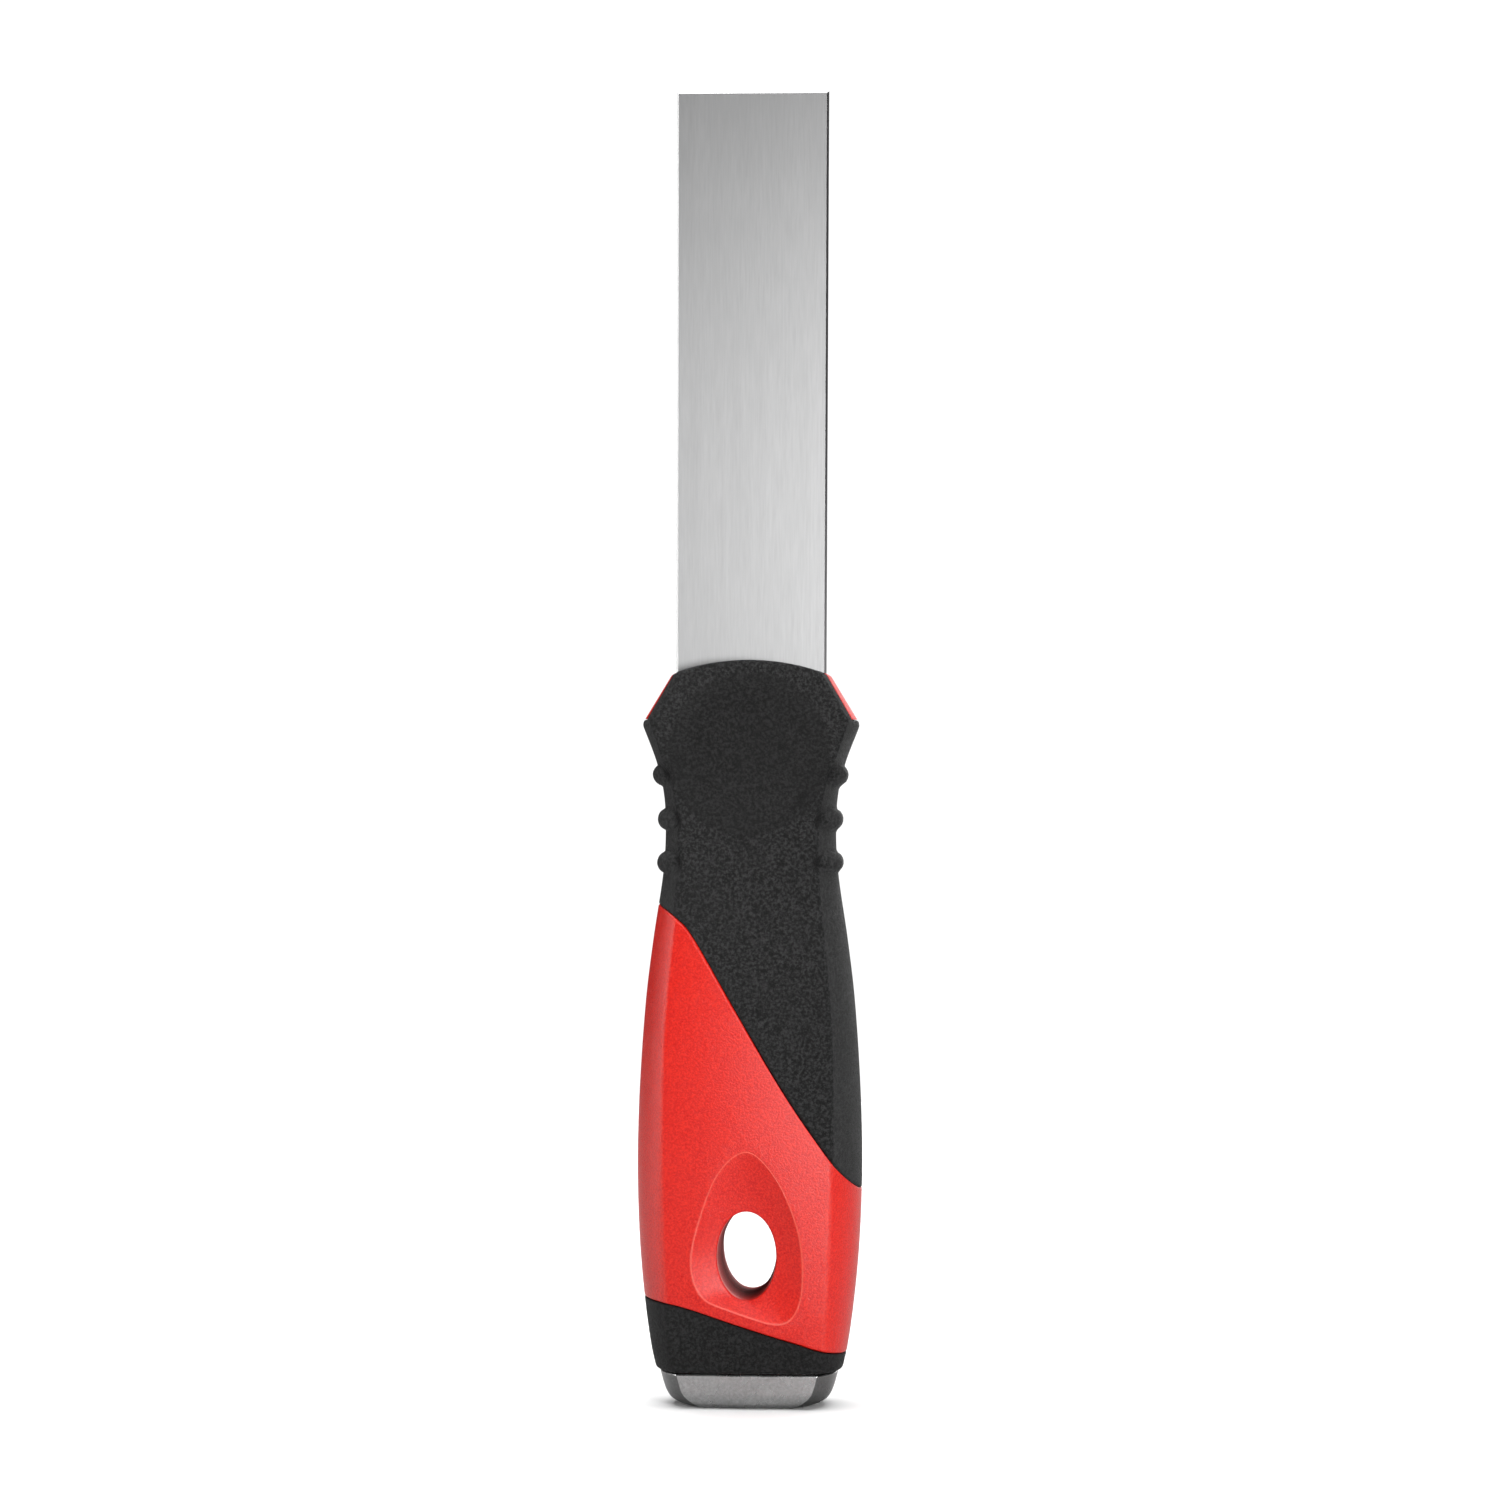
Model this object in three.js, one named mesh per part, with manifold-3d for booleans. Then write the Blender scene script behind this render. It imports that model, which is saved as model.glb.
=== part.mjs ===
// A stiff one-inch putty knife: a steel blade whose tang runs the length of a two-colour
// handle, down to a steel cap that can be struck with a hammer.
//
// The knife stands on its cap. +Z runs from the striking face to the blade's tip, X is the
// width, and the front of the handle faces -Y. The origin is the middle of the striking face.
// Every length is in millimetres. The handle is the same at the front and the back, so each
// outline is drawn once, in the XZ plane, and cut straight through along Y.

import * as THREE from "three";
import { mergeVertices } from "three/addons/utils/BufferGeometryUtils.js";
import Module from "manifold-3d";

const wasm = await Module();
wasm.setup();

// ---- Driving dimensions ----

const TOTAL_LENGTH = 218.4;
const GAP = 0.3; // between pieces that touch

const BLADE_WIDTH = 25.4; // at the tip
const BLADE_ROOT_WIDTH = 25;
const BLADE_THICKNESS = 1.8;
const BLADE_CHAMFER = 0.35;

const CAP_HEIGHT = 5.7;
const CAP_WALL = 1.7;
const CAP_FLOOR = 2.6;

const SKIN = 1.8; // thickness of the soft grips over the core
const SHOULDER_SKIN = 2.4; // the same beside the bare shoulders
const SHOULDER_Z = 113.1; // the widest point of the bolster
const BARE_SHOULDER_Z = 113.9; // above this the core shows between the front and back grip
const BOLSTER_TOP = 123.7;
const BOLSTER_ARC = 37; // radius of the bolster's curved top edge

const HOLE_Z = 25.6;
const HOLE_HALF = { x: 5, z: 7.45 }; // at the mouths
const HOLE_DRAFT = 0.5; // how much narrower the hole is half-way through
const RECESS_DEPTH = 2.2; // of the dish round the hanging hole, deepest at the hole
const RECESS_CURVE = 1.3; // above 1 the dish is hollow

const THUMB = { z: 108.2, radius: 13.7, depth: 1.1, tilt: 0.08 };

const RIB_RADIUS = 1.9;
const RIB_END = 0.4; // how far a rib stops short of the panel edge
const RIBS = [
  { z: 104.65, reach: 16.1 },
  { z: 97.3, reach: 15.3 },
  { z: 90.15, reach: 15.35 },
];

const TANG = {
  shoulder: 111, // where the blade narrows to the tang
  neck: 14,
  eye: { x: 10.6, z: 13.2 }, // half sizes of the ring round the hanging hole
  eyeHole: { x: 7.2, z: 9.8 },
  tail: 9,
  end: 1.4, // the tail stops inside the cap's floor
  overlap: 2, // of the neck and the tail with the ring
};
const RIVET = { radius: 1.9, head: 3.3, headHeight: 1.1, heights: [101, 75] };

// The handle's cross-section at height z has a crowned panel front and back, and a curved
// side between them. Each list gives one of its sizes as [z, size] pairs.
const HALF_WIDTH = [
  [6, 15.5], [9.8, 16.35], [17.3, 17.4], [27.3, 18.3], [39.8, 18.7], [52.3, 18.4], [67.3, 17.4],
  [77.3, 16.2], [88.2, 14.6], [94.5, 14.2], [101, 14.45], [106.5, 15.65], [SHOULDER_Z, 18.15],
];
const PANEL_HALF = [
  [6, 12.2], [9.5, 12.7], [18, 13.2], [33, 13.75], [49, 13.9], [61.7, 13.7], [70, 13.1],
  [80.8, 12], [89, 11.35], [96, 11.4], [101.8, 12.3], [107, 14.1], [SHOULDER_Z + 0.7, 16.3],
];
const EDGE_DEPTH = [
  [6, 7.9], [17, 9.4], [30, 10.5], [45, 11], [60, 10.7], [75, 9.7], [88, 8.6], [98, 7.9],
  [108, 7.3], [116, 6.6], [126, 5.6],
];
const CROWN_DEPTH = [
  [6, 8.5], [17, 10.6], [30, 11.9], [45, 12.5], [60, 12.1], [75, 11], [88, 9.7], [98, 8.9],
  [108, 8.2], [116, 7.4], [126, 6.2],
];
// Above the shoulder both outlines run straight in to the blade.
const SHOULDER_END = { z: 122.1, halfWidth: 12.7, panelHalf: 11.6 };

// The cap tapers and rounds off towards the striking face: [z, half width, panel half, edge, crown].
const CAP_RINGS = [
  [0, 9.6, 7.2, 5.3, 5.7],
  [0.35, 11.3, 8.2, 6.2, 6.6],
  [1.1, 12.9, 9.4, 7, 7.4],
  [2.1, 13.7, 10.5, 7.3, 7.7],
  [3.3, 14.2, 11.1, 7.4, 7.8],
  [CAP_HEIGHT, 14.9, 11.75, 7.6, 8],
];

// Where the red core meets the soft grips, from the handle's left side to its right.
const UPPER_SEAM = [
  [-22, 86.8], [-15.1, 83], [-11.8, 80.9], [-8.9, 77.6], [-2.15, 66.4], [5.7, 53.4], [12, 44.1],
  [16.2, 38.7], [22, 33],
];
const LOWER_SEAM = [
  [-22, 18.4], [-13.8, 17.7], [-9.2, 16.7], [-2.3, 14.5], [4, 12.5], [8.7, 11.1], [12.1, 10], [22, 7.6],
];

// The rim of the dish round the hanging hole.
const RECESS_RIM = [
  [0.2, 43], [4.8, 38.9], [8.1, 31.6], [9.3, 24.6], [8.7, 17.7], [5.5, 14.5], [-2.2, 16.6],
  [-7.2, 18.9], [-9, 23.8], [-8.1, 30], [-4.6, 39.2],
];

// ---- Smoothness of the curves ----

const SIDE_STEPS = 8;
const PANEL_STEPS = 6;
const STATION_STEP = 4; // between cross-sections along the handle
const STATION_CLEAR = 1.2; // between a cross-section and one at a corner of the shoulder
const SEAM_STEPS = 24;
const HOLE_STEPS = 32;
const DISH_RINGS = [0, 0.35, 0.7, 1]; // from the hole to the rim
const RIVET_STEPS = 20;
const THUMB_STEPS = { round: 36, across: 5 };
const RIB_STEPS = { round: 12, end: 3 };
const BOLSTER_STEPS = 72;
const FAR = 40; // past every face of the handle

// ---- Small tools ----

const v2 = (x, y) => new THREE.Vector2(x, y);
const v3 = (x, y, z) => new THREE.Vector3(x, y, z);
const shapeOf = (pairs) => new THREE.Shape(pairs.map(([x, z]) => v2(x, z)));
const rectangle = (x0, x1, z0, z1) => shapeOf([[x0, z0], [x1, z0], [x1, z1], [x0, z1]]);
const joined = (solids) => solids.reduce((all, next) => all.add(next));

/** A smooth function through [z, value] pairs, straight past the ends. */
function through(pairs) {
  const last = pairs.length - 1;
  const slopes = pairs.map((_, i) => {
    const [z0, a] = pairs[Math.max(i - 1, 0)];
    const [z1, b] = pairs[Math.min(i + 1, last)];
    return (b - a) / (z1 - z0);
  });
  return (z) => {
    if (z <= pairs[0][0]) return pairs[0][1] + slopes[0] * (z - pairs[0][0]);
    if (z >= pairs[last][0]) return pairs[last][1] + slopes[last] * (z - pairs[last][0]);
    const i = pairs.findIndex(([height]) => height > z) - 1;
    const [z0, a] = pairs[i];
    const [z1, b] = pairs[i + 1];
    const h = z1 - z0;
    const t = (z - z0) / h;
    const s = 1 - t;
    const values = a * s * s * (1 + 2 * t) + b * t * t * (1 + 2 * s);
    return values + h * t * s * (slopes[i] * s - slopes[i + 1] * t);
  };
}

/** The same up to the last pair, and from there a straight line to the shoulder's end. */
function throughToShoulder(pairs, end) {
  const curve = through(pairs);
  const [z0, a] = pairs[pairs.length - 1];
  const slope = (end - a) / (SHOULDER_END.z - z0);
  return (z) => (z <= z0 ? curve(z) : a + slope * (z - z0));
}

const halfWidthAt = throughToShoulder(HALF_WIDTH, SHOULDER_END.halfWidth);
const panelHalfAt = throughToShoulder(PANEL_HALF, SHOULDER_END.panelHalf);
const edgeDepthAt = through(EDGE_DEPTH);
const crownDepthAt = through(CROWN_DEPTH);

/** Radius of the arc over a chord of half length c that rises by s. */
const arcRadius = (c, s) => (c * c + s * s) / (2 * s);

/** A closed ring of points at height z, anticlockwise from above: two crowned panels, two round sides. */
function ring(z, halfWidth, panelHalf, edge, crown) {
  const sideRadius = arcRadius(edge, halfWidth - panelHalf);
  const sideTurn = Math.asin(edge / sideRadius);
  const panelRadius = arcRadius(panelHalf, crown - edge);
  const panelTurn = Math.asin(panelHalf / panelRadius);
  const half = [];
  for (let i = 0; i < SIDE_STEPS; i++) {
    const a = sideTurn * ((2 * i) / SIDE_STEPS - 1);
    half.push(v3(halfWidth - sideRadius * (1 - Math.cos(a)), sideRadius * Math.sin(a), z));
  }
  for (let i = 0; i < PANEL_STEPS; i++) {
    const a = panelTurn * (1 - (2 * i) / PANEL_STEPS);
    half.push(v3(panelRadius * Math.sin(a), crown - panelRadius * (1 - Math.cos(a)), z));
  }
  return [...half, ...half.map((p) => v3(-p.x, -p.y, z))];
}

/** A closed geometry through rings of equal length, with a fan of triangles over each end. */
function loft(rings) {
  const n = rings[0].length;
  const centre = (points) => points.reduce((sum, p) => sum.add(p), v3(0, 0, 0)).divideScalar(n);
  const points = [...rings.flat(), centre(rings[0]), centre(rings.at(-1))];
  const [firstHub, lastHub] = [points.length - 2, points.length - 1];
  const index = [];
  for (let i = 0; i < n; i++) {
    const next = (i + 1) % n;
    for (let start = 0; start < firstHub - n; start += n) {
      index.push(start + i, start + next, start + next + n);
      index.push(start + i, start + next + n, start + i + n);
    }
    index.push(firstHub, next, i);
    index.push(lastHub, firstHub - n + i, firstHub - n + next);
  }
  return new THREE.BufferGeometry().setFromPoints(points).setIndex(index);
}

/** A manifold-3d solid from a closed three.js geometry. */
function solid(geometry) {
  const bare = geometry.clone();
  bare.deleteAttribute("normal");
  bare.deleteAttribute("uv");
  const merged = mergeVertices(bare);
  return new wasm.Manifold(
    new wasm.Mesh({
      numProp: 3,
      vertProperties: merged.attributes.position.array,
      triVerts: new Uint32Array(merged.index.array),
    }),
  );
}

/** An outline in the XZ plane, made solid between two depths. */
function prism(shape, y0, y1) {
  const geometry = new THREE.ExtrudeGeometry(shape, { depth: y1 - y0, bevelEnabled: false });
  return solid(geometry.rotateX(Math.PI / 2).translate(0, y1, 0));
}

/** A solid of revolution about a line along Y through (0, 0, z), from [radius, y] pairs. */
function turned(profile, z) {
  const lathe = new THREE.LatheGeometry(profile.map(([r, y]) => v2(r, y)), RIVET_STEPS);
  return solid(lathe.translate(0, 0, z));
}

// ---- Cutters for the handle ----

/** Everything below a seam, with the seam moved up by lift. */
function below(seam, lift) {
  const curve = new THREE.SplineCurve(seam.map(([x, z]) => v2(x, z + lift)));
  const foot = [v2(seam[0][0], -1), v2(seam.at(-1)[0], -1)];
  return prism(new THREE.Shape([...foot, ...curve.getPoints(SEAM_STEPS).reverse()]), -FAR, FAR);
}

/** Everything under the curved top of the bolster. */
function underBolsterTop() {
  const dome = new THREE.CylinderGeometry(BOLSTER_ARC, BOLSTER_ARC, 2 * FAR, BOLSTER_STEPS);
  const rest = prism(rectangle(-BOLSTER_ARC, BOLSTER_ARC, -1, RIBS[0].z), -FAR, FAR);
  return solid(dome.translate(0, 0, BOLSTER_TOP - BOLSTER_ARC)).add(rest);
}

/** A ring round the hanging hole at depth y, from the top and clockwise as seen from the front. */
function holeRing(halfX, halfZ, y) {
  return Array.from({ length: HOLE_STEPS }, (_, i) => {
    const a = (2 * Math.PI * i) / HOLE_STEPS;
    return v3(halfX * Math.sin(a), y, HOLE_Z + halfZ * Math.cos(a));
  });
}

/** The hanging hole, narrowest half-way through. */
function hangingHole() {
  const flare = HOLE_DRAFT / crownDepthAt(HOLE_Z);
  const at = (y) => {
    const taken = HOLE_DRAFT - flare * Math.abs(y);
    return holeRing(HOLE_HALF.x - taken, HOLE_HALF.z - taken, y);
  };
  return solid(loft([-FAR, 0, FAR].map(at)));
}

/** How far the handle's front and back faces stand from the mid-plane at (x, z). */
function faceDepth(x, z) {
  const crown = crownDepthAt(z);
  const radius = arcRadius(panelHalfAt(z), crown - edgeDepthAt(z));
  return crown - radius + Math.sqrt(radius * radius - x * x);
}

/** The dish round the hanging hole, on the back. It gets deeper from its rim to the hole. */
function holeDish() {
  const rim = new THREE.CatmullRomCurve3(RECESS_RIM.map(([x, z]) => v3(x, 0, z)), true).getPoints(HOLE_STEPS);
  const start = holeRing(HOLE_HALF.x - 1, HOLE_HALF.z - 1, 0);
  const rings = DISH_RINGS.map((t) =>
    start.map((p, i) => {
      const x = p.x + (rim[i].x - p.x) * t;
      const z = p.z + (rim[i].z - p.z) * t;
      return v3(x, faceDepth(x, z) - RECESS_DEPTH * (1 - t ** RECESS_CURVE), z);
    }),
  );
  const above = rings.at(-1).map((p) => v3(p.x, FAR, p.z));
  return solid(loft([...rings, above]));
}

/** The shallow round dish for the thumb, on the back. */
function thumbDish() {
  const sphere = arcRadius(THUMB.radius, THUMB.depth);
  const wide = 1.2 * THUMB.radius;
  const lens = [v2(0, 0)];
  for (let i = 1; i <= THUMB_STEPS.across; i++) {
    const r = (wide * i) / THUMB_STEPS.across;
    lens.push(v2(r, sphere - Math.sqrt(sphere * sphere - r * r)));
  }
  lens.push(v2(wide, THUMB.radius), v2(0, THUMB.radius));
  const cutter = new THREE.LatheGeometry(lens, THUMB_STEPS.round).rotateX(THUMB.tilt);
  return solid(cutter.translate(0, crownDepthAt(THUMB.z) - THUMB.depth, THUMB.z));
}

/** A solid and its mirror image through the mid-plane of the handle. */
const bothFaces = (cutter) => cutter.add(cutter.mirror([0, 1, 0]));

// ---- The handle as one body, before it is divided ----

/** Heights of the cross-sections, with one at each corner of the shoulder. */
function stations(z0, z1) {
  const corners = [SHOULDER_Z, PANEL_HALF.at(-1)[0], SHOULDER_END.z];
  const count = Math.ceil((z1 - z0) / STATION_STEP);
  const even = Array.from({ length: count + 1 }, (_, i) => z0 + ((z1 - z0) * i) / count);
  const clear = even.filter((z) => corners.every((corner) => Math.abs(z - corner) > STATION_CLEAR));
  return [...clear, ...corners].sort((a, b) => a - b);
}

/** The handle's outer form with its surface taken in by inset, without its ribs, dishes and hole. */
function envelope(inset) {
  const rings = stations(CAP_HEIGHT + GAP, BOLSTER_TOP + 2).map((z) => {
    const sizes = [halfWidthAt(z), panelHalfAt(z), edgeDepthAt(z), crownDepthAt(z)];
    return ring(z, ...sizes.map((size) => size - inset));
  });
  return solid(loft(rings));
}

/** A finger rib: a rod with round ends across one side of the handle. */
function rib({ z, reach }, side) {
  const length = 2 * (edgeDepthAt(z) - RIB_END - RIB_RADIUS);
  const rod = new THREE.CapsuleGeometry(RIB_RADIUS, length, RIB_STEPS.end, RIB_STEPS.round);
  return solid(rod.translate(side * (reach - RIB_RADIUS), 0, z));
}

function handleBody() {
  const ribs = RIBS.flatMap((r) => [rib(r, -1), rib(r, 1)]);
  return joined([envelope(0), ...ribs])
    .intersect(underBolsterTop())
    .subtract(bothFaces(thumbDish()))
    .subtract(bothFaces(holeDish()))
    .subtract(hangingHole());
}

/** The block between the front and the back grip where the core shows on the bolster's shoulders. */
function bareShoulders(grow) {
  const side = (z) => [edgeDepthAt(z) - SHOULDER_SKIN + grow, z];
  const back = [side(BARE_SHOULDER_Z - grow), side(BOLSTER_TOP + 2)];
  const front = back.map(([y, z]) => [-y, z]).reverse();
  const outline = shapeOf([...front, ...back]);
  const block = new THREE.ExtrudeGeometry(outline, { depth: 2 * FAR, bevelEnabled: false });
  return solid(block.rotateX(Math.PI / 2).rotateZ(Math.PI / 2).translate(-FAR, 0, 0));
}

/** Everything that the core takes up, grown where it meets the soft grips. */
function coreRoom(grow) {
  const band = below(UPPER_SEAM, grow).subtract(below(LOWER_SEAM, -grow));
  return joined([band, envelope(SKIN - grow), bareShoulders(grow)]);
}

// ---- Blade ----

/** The tang between two depths, grown by some clearance: its neck, an eye round the hole, its tail. */
function tang(grow, y0, y1) {
  const eye = new THREE.Shape().absellipse(0, HOLE_Z, TANG.eye.x + grow, TANG.eye.z + grow, 0, 2 * Math.PI);
  const inside = new THREE.Path();
  inside.absellipse(0, HOLE_Z, TANG.eyeHole.x - grow, TANG.eyeHole.z - grow, 0, 2 * Math.PI);
  eye.holes.push(inside);
  const neck = TANG.neck / 2 + grow;
  const tail = TANG.tail / 2 + grow;
  return joined([
    prism(rectangle(-neck, neck, HOLE_Z + TANG.eye.z - TANG.overlap, TANG.shoulder + 1), y0, y1),
    prism(eye, y0, y1),
    prism(rectangle(-tail, tail, TANG.end - grow, HOLE_Z - TANG.eye.z + TANG.overlap), y0, y1),
  ]);
}

/** The blade's plate, a little wider at the tip, with a small chamfer on every edge. */
function bladePlate() {
  const root = BLADE_ROOT_WIDTH / 2 - BLADE_CHAMFER;
  const tip = BLADE_WIDTH / 2 - BLADE_CHAMFER;
  const low = TANG.shoulder + BLADE_CHAMFER;
  const high = TOTAL_LENGTH - BLADE_CHAMFER;
  const plate = new THREE.ExtrudeGeometry(shapeOf([[-root, low], [root, low], [tip, high], [-tip, high]]), {
    depth: BLADE_THICKNESS - 2 * BLADE_CHAMFER,
    bevelThickness: BLADE_CHAMFER,
    bevelSize: BLADE_CHAMFER,
    bevelSegments: 1,
  });
  return solid(plate.rotateX(Math.PI / 2).translate(0, BLADE_THICKNESS / 2 - BLADE_CHAMFER, 0));
}

function blade() {
  const half = BLADE_THICKNESS / 2;
  const hole = RIVET.radius + GAP;
  const holes = RIVET.heights.map((z) => turned([[0, -FAR], [hole, -FAR], [hole, FAR], [0, FAR]], z));
  return bladePlate().add(tang(0, -half, half)).subtract(joined(holes));
}

// ---- Pieces of the handle ----

/** A rivet through both halves of the core and the tang, its heads just below the core's faces. */
function rivet(z, grow = 0, headRoom = 0) {
  const end = crownDepthAt(z) - SKIN - GAP;
  const neck = end - RIVET.headHeight - grow;
  const top = end + headRoom;
  const back = [[RIVET.radius + grow, neck], [RIVET.head + grow, neck], [RIVET.head + grow, top], [0, top]];
  const front = back.map(([r, y]) => [r, -y]).reverse();
  return turned([...front, ...back], z);
}

/** The core's foot, which fills the striking cap. */
function coreFoot() {
  const [low, high] = CAP_RINGS.slice(-2);
  const foot = ([, ...sizes], z) => ring(z, ...sizes.map((size) => size - CAP_WALL - GAP));
  return solid(loft([foot(low, CAP_FLOOR + GAP), foot(high, CAP_HEIGHT + 1)]));
}

/** The whole core, hollowed for the tang and the rivets. */
function core(body) {
  const deep = BLADE_THICKNESS / 2 + GAP;
  const wide = BLADE_WIDTH / 2 + GAP;
  const bladeRoom = prism(rectangle(-wide, wide, TANG.shoulder - GAP, TOTAL_LENGTH), -deep, deep);
  const rivetRoom = joined(RIVET.heights.map((z) => rivet(z, GAP, SKIN)));
  return body
    .intersect(coreRoom(0))
    .add(coreFoot())
    .subtract(joined([bladeRoom, tang(GAP, -deep, deep), rivetRoom]));
}

/** The half of the core behind the mid-plane (side 1) or in front of it (side -1). */
function shell(whole, side) {
  const [near, far] = [(side * GAP) / 2, side * FAR].sort((a, b) => a - b);
  return whole.intersect(prism(rectangle(-FAR, FAR, -1, TOTAL_LENGTH), near, far));
}

function strikingCap() {
  const outer = solid(loft(CAP_RINGS.map(([z, ...sizes]) => ring(z, ...sizes))));
  const [low, high] = CAP_RINGS.slice(-2);
  const wall = ([, ...sizes], z) => ring(z, ...sizes.map((size) => size - CAP_WALL));
  const pocket = solid(loft([wall(low, CAP_FLOOR), wall(high, CAP_HEIGHT + 1)]));
  const wide = TANG.tail / 2 + GAP;
  const deep = BLADE_THICKNESS / 2 + GAP;
  const socket = prism(rectangle(-wide, wide, TANG.end - GAP, CAP_HEIGHT), -deep, deep);
  return outer.subtract(pocket).subtract(socket);
}

// ---- Assembly ----

const MATERIALS = {
  blade_steel: new THREE.MeshStandardMaterial({ color: 0xc9cacb, roughness: 0.35, metalness: 1 }),
  cap_steel: new THREE.MeshStandardMaterial({ color: 0x9a9b9c, roughness: 0.3, metalness: 1 }),
  rivet_steel: new THREE.MeshStandardMaterial({ color: 0xa8a8a8, roughness: 0.4, metalness: 1 }),
  red_plastic: new THREE.MeshStandardMaterial({ color: 0xdf2a22, roughness: 0.5, metalness: 0 }),
  black_rubber: new THREE.MeshStandardMaterial({ color: 0x262627, roughness: 0.75, metalness: 0 }),
};

const knife = new THREE.Group();

/** Adds a finished solid to the knife as a named mesh. */
function place(name, made, material) {
  const { vertProperties, triVerts } = made.getMesh();
  const geometry = new THREE.BufferGeometry();
  geometry.setAttribute("position", new THREE.BufferAttribute(vertProperties, 3));
  geometry.setIndex(new THREE.BufferAttribute(triVerts, 1));
  const mesh = new THREE.Mesh(geometry, MATERIALS[material]);
  mesh.name = name;
  knife.add(mesh);
}

const body = handleBody();
const wholeCore = core(body);
const grips = body.subtract(coreRoom(GAP));
const [upperRivet, lowerRivet] = RIVET.heights;

place("blade", blade(), "blade_steel");
place("core_front_shell", shell(wholeCore, -1), "red_plastic");
place("core_back_shell", shell(wholeCore, 1), "red_plastic");
place("tang_rivet_upper", rivet(upperRivet), "rivet_steel");
place("tang_rivet_lower", rivet(lowerRivet), "rivet_steel");
place("front_grip", grips.subtract(below(UPPER_SEAM, 0)), "black_rubber");
place("rear_grip", grips.intersect(below(LOWER_SEAM, 0)), "black_rubber");
place("striking_cap", strikingCap(), "cap_steel");

export default knife;
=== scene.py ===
"""A stiff putty knife with a two-colour handle and a steel striking cap.

The knife stands on its cap: +Z runs to the blade's tip, the front faces -Y, the origin is the middle
of the striking face. Shapes are worked out in millimetres and made into meshes in metres. The handle
is the same front and back, so every piece is made for its front half (y <= 0) and mirrored.
"""

import math

import bmesh
import bpy
import numpy as np
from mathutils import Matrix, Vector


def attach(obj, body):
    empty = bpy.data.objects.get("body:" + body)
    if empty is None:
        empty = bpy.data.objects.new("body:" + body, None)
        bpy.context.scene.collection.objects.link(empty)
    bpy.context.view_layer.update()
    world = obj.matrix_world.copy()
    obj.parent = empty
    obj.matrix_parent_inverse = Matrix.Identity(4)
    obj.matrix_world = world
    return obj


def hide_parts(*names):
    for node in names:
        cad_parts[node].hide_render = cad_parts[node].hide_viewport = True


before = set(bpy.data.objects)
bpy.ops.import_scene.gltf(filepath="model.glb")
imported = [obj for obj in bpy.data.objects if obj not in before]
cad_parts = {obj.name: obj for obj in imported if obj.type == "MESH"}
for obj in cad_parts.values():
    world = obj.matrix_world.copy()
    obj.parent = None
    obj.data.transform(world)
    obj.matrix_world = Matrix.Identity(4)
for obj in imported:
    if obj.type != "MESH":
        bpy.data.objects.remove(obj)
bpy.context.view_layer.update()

MM = 0.001
MERGE = 2e-6  # metres: points closer than this become one

# ---- Driving dimensions, in millimetres, as in the CAD model ----

BLADE_HALF = 12.5  # at the bolster
BLADE_THICKNESS = 1.8

CAP_HEIGHT = 5.7
CAP_WALL = 1.7
CAP_FLOOR = 2.6
HANDLE_FOOT = 6.0
CORE_FOOT = 2.9

SKIN = 1.8  # thickness of the soft grips over the core
SHOULDER_SKIN = 2.4  # the same beside the bare shoulders
CLEARANCE = 0.3  # between the hidden faces of the grips and the core
SHOULDER_Z = 113.1
BARE_SHOULDER_Z = 113.9
BOLSTER_TOP = 123.7
BOLSTER_ARC = 37.0  # radius of the bolster's top, seen from the front
SLOT_DEPTH_Z = 110.7  # height of the bottom of the blade's slot

HOLE_Z = 25.6
HOLE_HALF = (5.0, 7.45)
HOLE_DRAFT = 0.5  # how much closer the hole's wall is at mid-depth than at the face
RECESS_DEPTH = 2.2  # of the dish round the hole, deepest at the hole
RECESS_CURVE = 1.3  # above 1 the dish is hollow

THUMB_Z = 108.2
THUMB_RADIUS = 13.7
THUMB_DEPTH = 1.1
THUMB_TILT = 0.08  # radians: the dish leans back much as the panel does

RIB_RADIUS = 1.9
RIBS = [(104.65, 16.1), (97.3, 15.3), (90.15, 15.35)]  # height, reach

HALF_WIDTH = [
    (6, 15.5), (9.8, 16.35), (17.3, 17.4), (27.3, 18.3), (39.8, 18.7), (52.3, 18.4), (67.3, 17.4),
    (77.3, 16.2), (88.2, 14.6), (94.5, 14.2), (101, 14.45), (106.5, 15.65), (SHOULDER_Z, 18.15),
]
PANEL_HALF = [
    (6, 12.2), (9.5, 12.7), (18, 13.2), (33, 13.75), (49, 13.9), (61.7, 13.7), (70, 13.1),
    (80.8, 12), (89, 11.35), (96, 11.4), (101.8, 12.3), (107, 14.1), (SHOULDER_Z + 0.7, 16.3),
]
EDGE_DEPTH = [
    (6, 7.9), (17, 9.4), (30, 10.5), (45, 11), (60, 10.7), (75, 9.7), (88, 8.6), (98, 7.9),
    (108, 7.3), (116, 6.6), (126, 5.6),
]
CROWN_DEPTH = [
    (6, 8.5), (17, 10.6), (30, 11.9), (45, 12.5), (60, 12.1), (75, 11), (88, 9.7), (98, 8.9),
    (108, 8.2), (116, 7.4), (126, 6.2),
]
SHOULDER_END = {"z": 122.1, "half_width": 12.7, "panel_half": 11.6}

# The cap's cross-sections from the striking face up: z, half width, panel half, edge, crown.
CAP_RINGS = [
    (0, 9.6, 7.2, 5.3, 5.7),
    (0.35, 11.3, 8.2, 6.2, 6.6),
    (1.1, 12.9, 9.4, 7, 7.4),
    (2.1, 13.7, 10.5, 7.3, 7.7),
    (3.3, 14.2, 11.1, 7.4, 7.8),
    (CAP_HEIGHT, 14.9, 11.75, 7.6, 8),
]

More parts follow.
